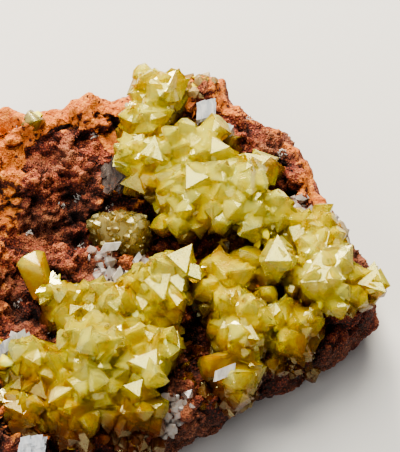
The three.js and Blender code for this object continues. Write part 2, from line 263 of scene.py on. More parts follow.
def discard(*pieces):
    for piece in pieces:
        bpy.data.objects.remove(piece)


def mesh_of(name, solid):
    """Ends a bmesh and gives its mesh."""
    mesh = bpy.data.meshes.new(name)
    solid.to_mesh(mesh)
    solid.free()
    return mesh


def copy_of(name, *nodes):
    """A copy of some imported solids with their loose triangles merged, as a new object."""
    solid = bmesh.new()
    for node in nodes:
        solid.from_mesh(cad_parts[node].data)
    bmesh.ops.remove_doubles(solid, verts=solid.verts, dist=1e-7)
    return new_piece(name, mesh_of(name, solid))


def hull_of(name, points):
    """The convex solid round some points, as a new object."""
    solid = bmesh.new()
    for point in points:
        solid.verts.new(point)
    bmesh.ops.convex_hull(solid, input=solid.verts)
    bmesh.ops.recalc_face_normals(solid, faces=solid.faces)
    return new_piece(name, mesh_of(name, solid))


def mesh_after(piece):
    """A piece's mesh after its modifiers."""
    graph = bpy.context.evaluated_depsgraph_get()
    return bpy.data.meshes.new_from_object(piece.evaluated_get(graph))


def grown(piece, tree, values):
    """Runs a tree on a piece, after its other modifiers, and keeps the result as a plain mesh."""
    modifier = piece.modifiers.new(tree.name, "NODES")
    modifier.node_group = tree
    inputs = {
        item.name: item.identifier
        for item in tree.interface.items_tree
        if item.item_type == "SOCKET" and item.in_out == "INPUT"
    }
    for name, value in values.items():
        modifier[inputs[name]] = value
    mesh = mesh_after(piece)
    piece.modifiers.clear()
    piece.data = mesh
    mesh.name = piece.name
    if not mesh.polygons:
        raise RuntimeError(f"{piece.name}: nothing grew")
    return piece


def values_in(settings, *names):
    """The values of a tree's inputs that have the names of settings."""
    return {name.title(): getattr(settings, name) for name in names}


def voxelled(piece, cell, factor=0.5, rounds=0):
    """Gives a piece even faces of one cell each, and softens them."""
    remesh = piece.modifiers.new("even_faces", "REMESH")
    remesh.mode = "VOXEL"
    remesh.voxel_size = cell
    if rounds:
        smooth = piece.modifiers.new("softened", "SMOOTH")
        smooth.factor = factor
        smooth.iterations = rounds
    return piece


def rounded(node):
    """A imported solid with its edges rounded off, as a new object."""
    cell, rounds = ROUNDING[node]
    return voxelled(copy_of("rounded_" + node, node), cell, 0.6, rounds)


def stand_on_rock(piece, slot, *nodes):
    """What every piece of the specimen needs: its body, and the solids it stands for hidden. The
    finish that it is given is not used.
    """
    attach(piece, "root")
    if nodes:
        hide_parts(*nodes)


def places_on(surface, spots):
    """Points on a surface, from places in thousandths of the rock's width and depth."""
    low, high = (Vector(corner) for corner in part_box("limonite_matrix"))
    span = high - low
    points = []
    for across, back in spots:
        above = Vector(
            (low.x + across / 1000 * span.x, low.y + back / 1000 * span.y, high.z + 10 * MM)
        )
        hit, place = surface.ray_cast(above, Vector((0, 0, -1)))[:2]
        if not hit:
            raise RuntimeError(f"{surface.name}: nothing below the place {across}, {back}")
        points.append(place)
    mesh = bpy.data.meshes.new("places")
    mesh.from_pydata(points, [], [])
    return new_piece("places", mesh)


# ---------------------------------------------------------------- sizes and colours


def length(name, description, default_mm):
    return FloatProperty(name=name, description=description, default=default_mm * MM, unit="LENGTH")


def angle(name, description, degrees):
    return FloatProperty(
        name=name, description=description, default=math.radians(degrees), subtype="ANGLE"
    )


def colour(name, description, default):
    return FloatVectorProperty(
        name=name, description=description, default=linear(default)[:3], size=3, subtype="COLOR"
    )


class LimoniteSettings(PropertyGroup):
    """The rock."""

    cell: length("Skin cell", "Size of the skin's faces", 0.38)
    lump: length("Lump", "Width of a rounded lump", 4.0)
    rise: length("Rise", "How far lumps stand proud", 2.1)
    pit: length("Pit depth", "Depth of the pits", 1.5)
    grain: length("Grain", "Width of a grain", 0.42)
    grain_spacing: length("Grain spacing", "Least distance between loose grains", 0.66)
    seed: IntProperty(name="Seed", description="Repeats the same grains", default=3)
    dust: colour("Dust", "Ochre dust on surfaces that look up", "#E9984A")
    dust_middle: colour("Dust, middle", "Thinner dust", "#C87034")
    dust_shade: colour("Dust, shade", "Dust in the hollows between grains", "#8C4622")
    hole: colour("Hole", "Holes in the dust", "#4A1E12")
    # The darkest grains, which the deepest pits reach: painted shade in the pits.
    pit_shade: colour("Hollow", "Rock in the pits", "#1E0D08")
    dark: colour("Dark grain", "Dark red grains", "#421A12")
    body: colour("Body", "Red-brown rock", "#6E2A1C")
    light: colour("Light grain", "Lighter grains", "#96442C")
    pale: colour("Pale grain", "The palest grains", "#BC6E48")
    brown: colour("Brown", "Rock that is brown rather than red", "#7A5C44")


class AdamiteSettings(PropertyGroup):
    """The crystal groups."""

    spacing: length("Spacing", "Least distance between crystals", 1.8)
    smallest: length("Smallest", "Least half width", 0.85)
    largest: length("Largest", "Greatest half width", 2.2)
    fine: length("Fine crystal", "Half width of the finest crystals", 0.5)
    reach: length("Outgrowth reach", "How far outgrowths spread round their places", 2.2)
    lean: angle("Lean", "How far crystals lean apart", 15)
    seed: IntProperty(name="Seed", description="Repeats the same growth", default=7)
    clear: colour("Clear", "Clear yellow crystal", "#D89C16")
    body: colour("Body", "Most of the crystal", "#F0E43C")
    milk: colour("Milk", "Milky crystal", "#F4F684")
    # The root colour also darkens the crystals low down and on the near side: painted shade as well
    # as iron stain.
    root: colour("Root", "Iron-stained roots", "#80401C")
    depth: colour("Depth", "Light that has passed through a crystal", "#F4B02C")
    glint: colour("Glint", "Light that a face reflects", "#F8F6B8")
    cloud_depth: length("Cloud depth", "How far below the surface the milky inside begins", 0.5)
    # The rust and amber of the cloud lie low down and on the near side: painted shade as well as
    # iron stain.
    cloud_rust_and_shade: colour("Cloud, rust", "Inside the roots", "#7E4018")
    cloud_amber: colour("Cloud, amber", "Inside the lower sides", "#E0AE14")
    cloud_yellow: colour("Cloud, yellow", "Most of the milky inside", "#F1E22E")
    cloud_cream: colour("Cloud, cream", "The milky inside on top", "#F5F78C")


class FrostedSettings(PropertyGroup):
    """The frosted dome and the pale crystal on the edge."""

    spacing: length("Spacing", "Least distance between crystals", 0.85)
    smallest: length("Smallest", "Least half width", 0.5)
    largest: length("Largest", "Greatest half width", 0.85)
    fine: length("Fine crystal", "Half width of the finest crystals", 0.3)
    lean: angle("Lean", "How far crystals lean apart", 20)
    clear: colour("Clear", "Clear olive crystal", "#8E7A2E")
    body: colour("Body", "Most of the crystal", "#B5A658")
    milk: colour("Milk", "Milky crystal", "#D4D29C")
    # The root colour also darkens the dome low down and on the near side: painted shade as well as
    # iron stain.
    root: colour("Root", "Iron-stained roots", "#7A5C28")


class DruseSettings(PropertyGroup):
    """The druses of fine crystals and the tan crust at the far tip."""

    lean: angle("Lean", "How far crystals lean apart", 25)
    seed: IntProperty(name="Seed", description="Repeats the same growth", default=5)
    clear: colour("Clear", "Clear tan crystal", "#D2A860")
    body: colour("Body", "Most of the crust", "#E8D6A4")
    milk: colour("Milk", "Milky crust", "#F4ECD6")
    # The root colour also darkens the druses low down and on the near side: painted shade as well
    # as iron stain.
    root: colour("Root", "Iron-stained roots", "#B27A40")


class CalciteSettings(PropertyGroup):
    """The calcite fragments, splinters and colourless crystals."""

    least: FloatProperty(
        name="Least step", description="Least step, as a share of its fragment", default=0.3
    )
    greatest: FloatProperty(name="Greatest step", description="Greatest, likewise", default=0.75)
    broken: FloatProperty(
        name="Broken step", description="Greatest, where it is shattered", default=0.5
    )
    seed: IntProperty(name="Seed", description="Repeats the same steps", default=2)
    white_shade: colour("White, shade", "White calcite in its depth", "#C9CFD6")
    white: colour("White", "White calcite's pearly steps", "#FFFFFF")
    grey_shade: colour("Grey, shade", "Grey calcite in its depth", "#6A5850")
    grey: colour("Grey", "Grey calcite's pearly steps", "#B4A49A")
    splinter_shade: colour("Splinter, shade", "A splinter in its depth", "#D6CEC4")
    splinter: colour("Splinter", "A splinter's pearly steps", "#FBF8F2")
    colourless_shade: colour("Colourless, shade", "Colourless crystal in its depth", "#F0DCCC")
    colourless: colour("Colourless", "Colourless crystal's faces", "#FFFBF6")


class StudioSettings(PropertyGroup):
    """Camera, light and floor."""

    elevation: angle("Elevation", "Camera's height over the floor", 60)
    lens: FloatProperty(name="Lens", description="Focal length in millimetres", default=180)
    field: length("Field", "Height of the view", 67.8)
    aim: FloatVectorProperty(
        name="Aim", description="Point that the camera looks at",
        default=(6.83 * MM, 6.1 * MM, 13 * MM), size=3, subtype="TRANSLATION", unit="LENGTH",
    )
    floor: colour("Floor", "Floor colour", "#DAD7D2")
    key: colour("Key light", "Softbox beyond the specimen", "#FFFBEE")
    rake: colour("Rake light", "Smaller, lower softbox", "#FFF4E4")
    fill: colour("Fill light", "Wide softbox on the left", "#FFFFFF")
    room: colour("Room light", "Light from all sides", "#D8DCE0")
    strength: FloatProperty(
        name="Room strength", description="How strong the room light is", default=0.3
    )


def tints_of(settings):
    """A crystal's four colours, from clear to milky and then stained; the stained one also paints
    shade low down and on the near side.
    """
    return [tuple(tint) for tint in (settings.clear, settings.body, settings.milk, settings.root)]


# ---------------------------------------------------------------- materials


def new_material(name):
    """A material, the function that adds its nodes, and the place of each point on it."""
    material = bpy.data.materials.new(name)
    material.use_nodes = True
    material.node_tree.nodes.clear()
    add = partial(add_node, material.node_tree)
    return material, add, add("TexCoord").outputs["Object"]


def finish_material(add, surface, absorbed=None):
    """Ends a material, with its surface and with what its inside absorbs."""
    ends = {"Surface": add("BsdfPrincipled", surface)}
    if absorbed:
        ends["Volume"] = add("VolumeAbsorption", absorbed)
    add("OutputMaterial", ends)


def limonite_material(settings):
    """Limonite, an earthy iron oxide left by weathering, crumbly on its broken faces.

    To the eye it is matt: dark red grains with darker seams, and ochre powder where it is dusted.
    """
    material, add, place = new_material("earthy_limonite")
    names = ("relief", "lining", "rim")
    relief, lining, rim = (add("Attribute", attribute_name=name).outputs["Fac"] for name in names)
    patch = add("TexNoise", mottle(place, 6))
    grit = add("TexNoise", mottle(place, 0.8, 5.0, 0.7))
    facing = add("SeparateXYZ", (add("NewGeometry").outputs["Normal"],)).outputs
    axes = add("SeparateXYZ", (place,)).outputs
    looks_up = weighted(add, (facing["Y"], 0.6), (facing["Z"], 1.0))
    looks_up = add("MapRange", (looks_up, -0.2, 1.1))
    grain = add("TexVoronoi", {"Vector": place, "Scale": 1 / settings.grain})
    shade = add("SeparateXYZ", (grain.outputs["Color"],))
    seam = add("MapRange", (grain.outputs["Distance"], 0.25, 0.6))

    # Ochre dust lies on the rim, on the left side and on the highest ground that looks up.
    # It thins in the pits, on low ground and near the crystals, where the darker rock that shows
    # stands for shade as well: painted shade. It has fallen off the steep faces in places, and a
    # dip in the far left corner is sheltered from it.
    corner = (-13.5 * MM, 16.5 * MM, 11 * MM)
    corner = add("VectorMath", (place, corner), operation="DISTANCE").outputs["Value"]
    gap = add("TexNoise", mottle(place, 3, 5.0, 0.7))
    high, back, left, beyond, brink, loose, steep, sheltered = (
        add("MapRange", limits)
        for limits in (
            (axes["Z"], 8 * MM, 14 * MM), (axes["Y"], -25 * MM, 5 * MM, -0.5, 0.15),
            (axes["X"], -19 * MM, -22 * MM), (axes["Y"], 3 * MM, 9 * MM, 0.3, 1.0),
            (axes["Z"], 8 * MM, 14 * MM, 0.15, 1.0), (gap, 0.56, 0.42), (facing["Z"], 0.75, 0.35),
            (corner, 5.5 * MM, 8 * MM, -4.0, 0.0),
        )
    )
    dusted = weighted(
        add, (relief, 1.3), (patch, 1.2), (looks_up, 1.2), (high, 0.9), (lining, -1.1), (back, 1.0),
        (weighted(add, (left, beyond)), 1.9), (weighted(add, (rim, brink)), 3.6),
        (weighted(add, (loose, steep)), -3.0), (sheltered, 1.0), (grit, 1.0),
    )
    dusted = add("MapRange", (dusted, 4.25, 4.7))

    # Bare rock is darkest in its pits, as painted shade, and in the seams between grains. It is
    # painted lighter on faces that look up, as painted light, and darker near the crystals, as
    # painted shade and stain.
    speck = add("TexNoise", mottle(place, 0.28, 2.0))
    tone = weighted(
        add, (relief, 0.8), (grit, 1.0), (shade, 0.35), (speck, 0.7), (seam, -0.5), (looks_up, 0.5),
        (lining, -0.3),
    )
    tone = add("MapRange", (tone, 0.65, 1.75))
    tints = (settings.pit_shade, settings.dark, settings.body, settings.light, settings.pale)
    granular = add("ValToRGB", (tone,), zip((0.0, 0.25, 0.5, 0.75, 1.0), tints))
    # The dust has small holes in it.
    holes = add("TexVoronoi", {"Vector": place, "Scale": 1 / (1.3 * MM)})
    holes = weighted(add, (grit, 0.4), (holes.outputs["Distance"], 1.0))
    holes = add("MapRange", (holes, 0.33, 0.44))
    heap = add("MapRange", (weighted(add, (shade, 0.2), (grit, 1.0)), 0.34, 0.8))
    stops = ((0.0, settings.dust_shade), (0.5, settings.dust_middle), (1.0, settings.dust))
    powder = add("ValToRGB", (heap,), stops)
    # Some of the rock is brown rather than red.
    brown = add("MapRange", (add("TexNoise", mottle(place, 9, 3.0)), 0.45, 0.62, 0.0, 0.55))
    brown = {0: weighted(add, (brown, tone)), 6: granular, 7: (*settings.brown, 1)}
    granular = add("Mix", brown, data_type="RGBA").outputs[2]
    powder = add("Mix", {0: holes, 6: (*settings.hole, 1), 7: powder}, data_type="RGBA").outputs[2]
    skin = add("Mix", {0: dusted, 6: granular, 7: powder}, data_type="RGBA").outputs[2]

    # Dust fills the seams, so its surface is smoother.
    open_seam = add("MapRange", (dusted, 0.0, 1.0, 1.0, 0.35))
    height = weighted(add, (weighted(add, (open_seam, seam)), -1.0), (grit, 1.0))
    bump = add("Bump", {"Strength": 1.0, "Distance": 0.35 * MM, "Height": height})
    finish_material(
        add, {"Base Color": skin, "Roughness": 0.85, "Specular IOR Level": 0.45, "Normal": bump}
    )
    return material


def level_of(add, place):
    """How high a point lies among the crystals, and how close to the near side, which is painted in
    shade.
    """
    axes = add("SeparateXYZ", (place,)).outputs
    height = add("MapRange", (axes["Z"], 11 * MM, 20 * MM))
    return height, add("MapRange", (axes["Y"], -23 * MM, -29 * MM))


def adamite_material(name, settings, tints, stain_and_shade, pallor=0.0, clearness=0.75, frost=(0.05, 0.3)):
    """Adamite, a zinc arsenate grown from solution, with glassy or frosted faces.

    To the eye it is a bright, high-index glass: clear yellow with milky veils, and iron-stained
    low down. Its colour is painted paler higher up, as painted light; the iron stain low down and
    the darkening on the near side are also painted shade.
    """
    material, add, place = new_material(name)
    cloud = add("TexNoise", mottle(place, 5, 3.0))
    veil = add("TexNoise", mottle(place, 1.3, 5.0, 0.65, 1.2))
    fibre = add("TexNoise", mottle(place, 0.35, 4.0, 0.7, 3.0))
    height, low_down = level_of(add, place)
    # Each facet has its own clearness, so the way that it faces sets part of the tone.
    facing = add("NewGeometry").outputs["True Normal"]
    facet = add("TexNoise", {"Vector": facing, "Scale": 2.0, "Detail": 1.0, "Roughness": 0.6})
    # Higher up the crystal is paler, as painted light on the tops; towards the near side it is
    # darker, as painted shade.
    tone = weighted(
        add, (cloud, 2.0), (veil, 0.6), (fibre, 1.4), (facet, 1.0), (height, 1.0), (low_down, -0.35)
    )
    tone = add("MapRange", (tone, 2.62 - 0.4 * pallor, 3.65 - 0.4 * pallor))
    inside = add("ValToRGB", (tone,), zip((0.0, 0.5, 1.0), tints))
    # Low down and towards the near side the root colour takes over: iron stain at the roots, and
    # painted shade on the lower, near sides.
    rust_and_shade = weighted(add, (cloud, 0.8), (height, 1.0), (low_down, -0.4))
    rust_and_shade = add("MapRange", (rust_and_shade, 1.0, 0.4, 0.0, stain_and_shade))
    inside = add("Mix", {0: rust_and_shade, 6: inside, 7: (*tints[3], 1)}, data_type="RGBA").outputs[2]
    ripple = add("TexNoise", mottle(place, 0.4, 5.0, 0.75, 1.0))
    bump = add("Bump", {"Strength": 0.22, "Distance": 0.07 * MM, "Height": ripple})
    finish_material(
        add,
        {
            "Base Color": inside, "Roughness": add("MapRange", (facet, 0.45, 0.7, *frost)),
            "IOR": 1.72, "Transmission Weight": clearness, "Specular Tint": (*settings.glint, 1),
            "Normal": bump,
        },
        {"Color": (*settings.depth, 1), "Density": 350.0},
    )
    return material


def cloud_material(name, settings, shade):
    """The milky inclusions inside adamite, under its clear skin.

    To the eye they are waxy: creamy on top and clear yellow towards the sides, with soft edges.
    The cream on top and on faces that look up is painted light; the amber and rust low down and on
    the near side are painted shade as well as iron stain.
    """
    material, add, place = new_material(name)
    up = add("SeparateXYZ", (add("NewGeometry").outputs["Normal"],)).outputs["Z"]
    cloud = add("TexNoise", mottle(place, 4, 3.0))
    veil = add("TexNoise", mottle(place, 0.9, 5.0, 0.7, 1.6))
    height, low_down = level_of(add, place)
    tone = weighted(add, (cloud, 1.3), (veil, 1.1), (height, 0.8), (low_down, -0.4), (up, 0.3))
    tone = add("MapRange", (tone, 1.2, 2.15))
    tints = (settings.cloud_rust_and_shade, settings.cloud_amber, settings.cloud_yellow, settings.cloud_cream)
    # A shade below one darkens the whole cloud: a darker copy of the same material, as painted
    # shade.
    tints = [tuple(channel * shade for channel in tint) for tint in tints]
    inside = add("ValToRGB", (tone,), zip((0.0, 0.3, 0.65, 1.0), tints))
    # Light spreads inside, and blue dies away first.
    finish_material(
        add,
        {
            "Base Color": inside, "Roughness": 0.7, "Subsurface Weight": 0.5,
            "Subsurface Radius": (1.0, 0.9, 0.4), "Subsurface Scale": 1.0 * MM,
        },
    )
    return material


def calcite_material(name, shade, tint, density, clearness):
    """Calcite, broken along its cleavage.

    To the eye it is colourless or grey glass with pearly steps and streaks.
    """
    material, add, place = new_material(name)
    streaks = add(
        "Mapping", {"Vector": place, "Scale": (1.0, 0.3, 1.0), "Rotation": (0.3, 0.5, 0.9)}
    )
    pearl = add("TexNoise", mottle(streaks, 0.9, 4.0, 0.6, 0.6))
    pearly = add("ValToRGB", (pearl,), ((0.38, shade), (0.62, tint)))
    frost = add("MapRange", (add("TexNoise", mottle(place, 0.5, 3.0)), 0.4, 0.7, 0.03, 0.2))
    bump = add("Bump", {"Strength": 0.4, "Distance": 0.08 * MM, "Height": pearl})
    finish_material(
        add,
        {
            "Base Color": pearly, "Roughness": frost, "IOR": 1.6, "Transmission Weight": clearness,
            "Normal": bump,
        },
        {"Color": (*shade, 1), "Density": density},
    )
    return material


# ---------------------------------------------------------------- forms


def adamite_forms():
    """Crystals one unit in half width: a prism with a wedge roof, in sharp and barrel habits."""
    eave = -math.tan(math.radians(36))
    waist, foot = -1.6, -2.6
    # Each habit: half its depth, half its ridge, and how far its shoulders drop.
    habits = (
        (1.0, 1.0, 0.0), (0.95, 0.6, 0.25), (1.1, 0.45, 0.3), (0.85, 0.5, 0.2), (1.0, 0.35, 0.35),
    )
    forms = []
    for index, (half_y, ridge, drop) in enumerate(habits):
        points = [(1, 0, eave), (-1, 0, eave), (0, ridge, 0), (0, -ridge, 0)]
        if drop:
            points += [(0, half_y, -drop), (0, -half_y, -drop), (1.06, 0, waist), (-1.06, 0, waist)]
            points += [
                (side * 0.62, end * 0.62 * half_y, eave * 0.7)
                for side in (-1, 1) for end in (-1, 1)
            ]
        points += [
            (0.85, 0, foot), (-0.85, 0, foot), (0, 0.85 * half_y, foot), (0, -0.85 * half_y, foot),
        ]
        forms.append(hull_of(f"form_{index}", points))
    return forms


def rock_shard():
    """A slab-sided splinter of rock, one unit in half width."""
    points = [(-1, -0.3, -3), (0.9, -0.35, -3), (0.7, 0.4, -3), (-0.8, 0.3, -3)]
    points += [(-0.5, -0.25, 0.2), (0.75, -0.2, -0.5), (0.55, 0.3, -0.3), (-0.6, 0.2, 0.6)]
    return hull_of("shard", points)


def cleavage_prism():
    """A short bar of calcite with slanted ends, lying down, one unit in half width."""
    points = [
        (x + 0.35 * y, 0.55 * y, z - 0.2)
        for x in (-1.2, 1.2) for y in (-1, 1) for z in (-0.45, 0.45)
    ]
    return hull_of("cleavage_prism", points)


def dented_ball(name, rounds, radius, share, *dents, flatness=1.0):
    """A ball of rock, a share of its first size. Dents have a depth and a number in one unit."""
    solid = bmesh.new()
    bmesh.ops.create_icosphere(solid, subdivisions=rounds, radius=radius)
    for vert in solid.verts:
        vert.co *= share + sum(depth * noise.noise(vert.co * count) for depth, count in dents)
        vert.co.z *= flatness
    return new_piece(name, mesh_of(name, solid))


# ---------------------------------------------------------------- growth


def standing_crystals(add, points, forms, smallest, largest, lift, given):
    """Crystals that stand on points, tipped off the surface's own direction."""
    drift = {0: (-1, -1, -1), 1: (1, 1, 1), "Seed": given["Seed"]}
    drift = add("RandomValue", drift, data_type="FLOAT_VECTOR")
    slope = add("VectorMath", {0: drift, "Scale": given["Lean"]}, operation="SCALE")
    aim = add("VectorMath", (points.outputs["Normal"], slope), operation="ADD")
    upright = add("AlignRotationToVector", {"Vector": aim}, axis="Z")
    # Neighbours share most of their turn, as crystals that grew side by side do.
    place = add("InputPosition")
    turn = weighted(add, (add("TexNoise", mottle(place, 8, 0.0)), 6 * math.pi))
    spin = add("EulerToRotation", (add("CombineXYZ", {"Z": turn}),))
    turned = add("RotateRotation", {"Rotation": upright, "Rotate By": spin}, rotation_space="LOCAL")
    chance = add("RandomValue", {2: 0.0, 3: 1.0, "Seed": given["Seed"]}).outputs[1]
    chance = add("Math", (chance, 1.5), operation="POWER")
    size = add("MapRange", (chance, 0.0, 1.0, smallest, largest))
    # Crystals stay small near the specimen's highest point.
    level = add("SeparateXYZ", (place,)).outputs["Z"]
    room = add("Math", (given["Ceiling"], level), operation="SUBTRACT")
    size = add("Math", (size, room), operation="MINIMUM")
    shapes = [add("ObjectInfo", {"Object": form}).outputs["Geometry"] for form in forms]
    habits = add("GeometryToInstance", (shapes,))
    habit = add(
        "RandomValue", {4: 0, 5: len(forms) - 1, "Seed": given["Seed"]}, data_type="INT"
    ).outputs[2]
    along = add("VectorMath", (aim,), operation="NORMALIZE")
    along = add("VectorMath", {0: along, "Scale": weighted(add, (size, lift))}, operation="SCALE")
    raised = add("SetPosition", {"Geometry": points.outputs["Points"], "Offset": along})
    return add(
        "InstanceOnPoints",
        {
            "Points": raised, "Instance": habits, "Pick Instance": True, "Instance Index": habit,
            "Rotation": turned, "Scale": size,
        },
    )


def core_tree(material):
    """Sinks a surface by an uneven depth, for the cloud in a crystal. Stray crumbs are dropped."""
    tree, add, given = new_tree("sunk_cloud", {"Float": ("Depth",)})
    island = add("InputMeshIsland").outputs["Island Index"]
    count = add("AccumulateField", {"Group ID": island}, data_type="INT")
    crumb = all_hold(add, (count.outputs["Total"], "LESS_THAN", CRUMB))
    whole = add("DeleteGeometry", {"Geometry": given["Geometry"], "Selection": crumb})
    outward = add("InputNormal")
    up = add("SeparateXYZ", (outward,)).outputs["Z"]
    place = add("InputPosition")
    # It lies deepest under facets that face sideways.
    patch = add("MapRange", (add("TexNoise", mottle(place, 3.3, 0.0)), 0.3, 0.7, -0.1, 0.8))
    share = weighted(add, (up, -0.5), (patch, 1.0))
    share = add("MapRange", (share, 0.0, 1.0, -0.7, -2.7))
    inward = {0: outward, "Scale": weighted(add, (share, given["Depth"]))}
    inward = add("VectorMath", inward, operation="SCALE")
    moved = add("SetPosition", {"Geometry": whole, "Offset": inward})
    return finish_tree(tree, moved, material)


def cloudy_core(piece, name, material, cell, depth):
    """Stands the cloud inside a crystal or a group: its own shape, sunk in."""
    core = new_piece(name, piece.data.copy())
    core.data.materials.clear()
    grown(voxelled(core, cell, 0.5, 1), core_tree(bpy.data.materials[material]), {"Depth": depth})
    core.data.shade_smooth()
    stand_on_rock(core, "adamite")


def crystal_tree(material, forms):
    """Crystals that stand on a group's rounded body and join its solid in one surface."""
    sizes = ("Spacing", "Smallest", "Largest", "Fine", "Lean", "Ceiling", "Bare Up To", "Reach")
    tree, add, given = new_tree(
        "intergrown_crystals", {"Object": ("Body", "Outgrowths"), "Float": sizes, "Int": ("Seed",)}
    )
    body = add("ObjectInfo", {"Object": given["Body"]}).outputs["Geometry"]
    up = add("SeparateXYZ", (add("InputNormal"),)).outputs["Z"]
    across = add("SeparateXYZ", (add("InputPosition"),))
    # The broad level faces of the large crystals stay bare.
    level = all_hold(
        add, (up, "GREATER_THAN", LEVEL), (across.outputs["X"], "LESS_THAN", given["Bare Up To"])
    )
    bare = add(
        "SeparateGeometry", {"Geometry": given["Geometry"], "Selection": level}, domain="FACE"
    )
    near = add("Proximity", {"Geometry": bare}, target_element="FACES").outputs
    margin = weighted(add, (given["Spacing"], 0.8))
    beside_bare = all_hold(
        add, (near["Is Valid"], "GREATER_THAN", 0.5), (near["Distance"], "LESS_THAN", margin)
    )
    clear = add("BooleanMath", (beside_bare,), operation="NOT")
    # Fine crystals fringe the sides.
    fringe = all_hold(add, (clear, "GREATER_THAN", 0.5), (up, "LESS_THAN", 0.55))
    # Larger crystals stand out from the edge at the given places.
    places = add("ObjectInfo", {"Object": given["Outgrowths"]}).outputs["Geometry"]
    beside = add("Proximity", {"Geometry": places}, target_element="POINTS").outputs
    edge = all_hold(
        add, (beside["Distance"], "LESS_THAN", given["Reach"]), (up, "LESS_THAN", 0.8),
        (beside["Is Valid"], "GREATER_THAN", 0.5),
    )
    spacing, smallest, largest, fine = (given[name] for name in sizes[:4])
    fine_sizes = [weighted(add, (fine, share)) for share in (3.2, 0.6, 1.5)]
    edge_sizes = [weighted(add, (largest, share)) for share in (0.6, 0.9)]
    joined = [given["Geometry"]]
    # Each layer: where it grows, its spacing, its least and greatest half width, and its lift.
    for chosen, apart, least, greatest, lift in (
        (clear, spacing, smallest, largest, 0.55),
        (fringe, *fine_sizes, 0.55),
        (edge, spacing, *edge_sizes, 1.6),
    ):
        points = spread(body, apart, 1.5e6, given["Seed"], chosen)
        points = add("DistributePointsOnFaces", points, distribute_method="POISSON")
        joined.append(standing_crystals(add, points, forms, least, greatest, lift, given))
    union = add("MeshBoolean", {"Mesh 2": joined}, operation="UNION", solver="MANIFOLD")
    return finish_tree(tree, union, material)


def cleavage_tree(material):
    """A rhomb of calcite broken into steps, each a smaller rhomb of the same shape."""
    tree, add, given = new_tree(
        "cleavage_steps",
        {"Vector": ("Centre",), "Float": ("Spacing", "Least", "Greatest"), "Int": ("Seed",)},
    )
    inward = add("VectorMath", ((0, 0, 0), given["Centre"]), operation="SUBTRACT")
    centred = add("Transform", {"Geometry": given["Geometry"], "Translation": inward})
    points = spread(given["Geometry"], given["Spacing"], 5e6, given["Seed"])
    points = add("DistributePointsOnFaces", points, distribute_method="POISSON")
    place = add("InputPosition")
    towards = add("VectorMath", (given["Centre"], place), operation="SUBTRACT")
    share = add(
        "RandomValue", {2: given["Least"], 3: given["Greatest"], "Seed": given["Seed"]}
    ).outputs[1]
    moved = add("VectorMath", {0: towards, "Scale": share}, operation="SCALE")
    sunk = add("SetPosition", {"Geometry": points.outputs["Points"], "Offset": moved})
    tilt = {0: (-0.12, -0.12, -0.12), 1: (0.12, 0.12, 0.12), "Seed": given["Seed"]}
    tilt = add("RandomValue", tilt, data_type="FLOAT_VECTOR")
    steps = add(
        "InstanceOnPoints", {"Points": sunk, "Instance": centred, "Rotation": tilt, "Scale": share}
    )
    union = add("MeshBoolean", {"Mesh 2": steps}, operation="UNION", solver="MANIFOLD")
    return finish_tree(tree, union, material)


def druse_tree(material, forms):
    """Fine crystals on the rock, close to the places that it is given."""
    sizes = ("Reach", "Spacing", "Smallest", "Largest", "Lean", "Lift", "Ceiling")
    tree, add, given = new_tree("druse", {"Object": ("Places",), "Float": sizes, "Int": ("Seed",)})
    places = add("ObjectInfo", {"Object": given["Places"]}).outputs["Geometry"]
    near = add("Proximity", {"Geometry": places}, target_element="POINTS")
    spot = add("InputPosition")
    # Its edge is ragged.
    ragged = add("MapRange", (add("TexNoise", mottle(spot, 2)), 0.3, 0.7, 0.55, 1.15))
    ragged = weighted(add, (ragged, given["Reach"]))
    close = all_hold(add, (near.outputs["Distance"], "LESS_THAN", ragged))
    points = spread(given["Geometry"], given["Spacing"], 6e6, given["Seed"], close)
    points = add("DistributePointsOnFaces", points, distribute_method="POISSON")
    crystals = standing_crystals(
        add, points, forms, given["Smallest"], given["Largest"], given["Lift"], given
    )
    # Splinters of rock take the colour of proud ground.
    kept = add(
        "StoreNamedAttribute", {"Geometry": crystals, "Name": "relief", "Value": PROUD},
        data_type="FLOAT", domain="INSTANCE",
    )
    return finish_tree(tree, kept, material)


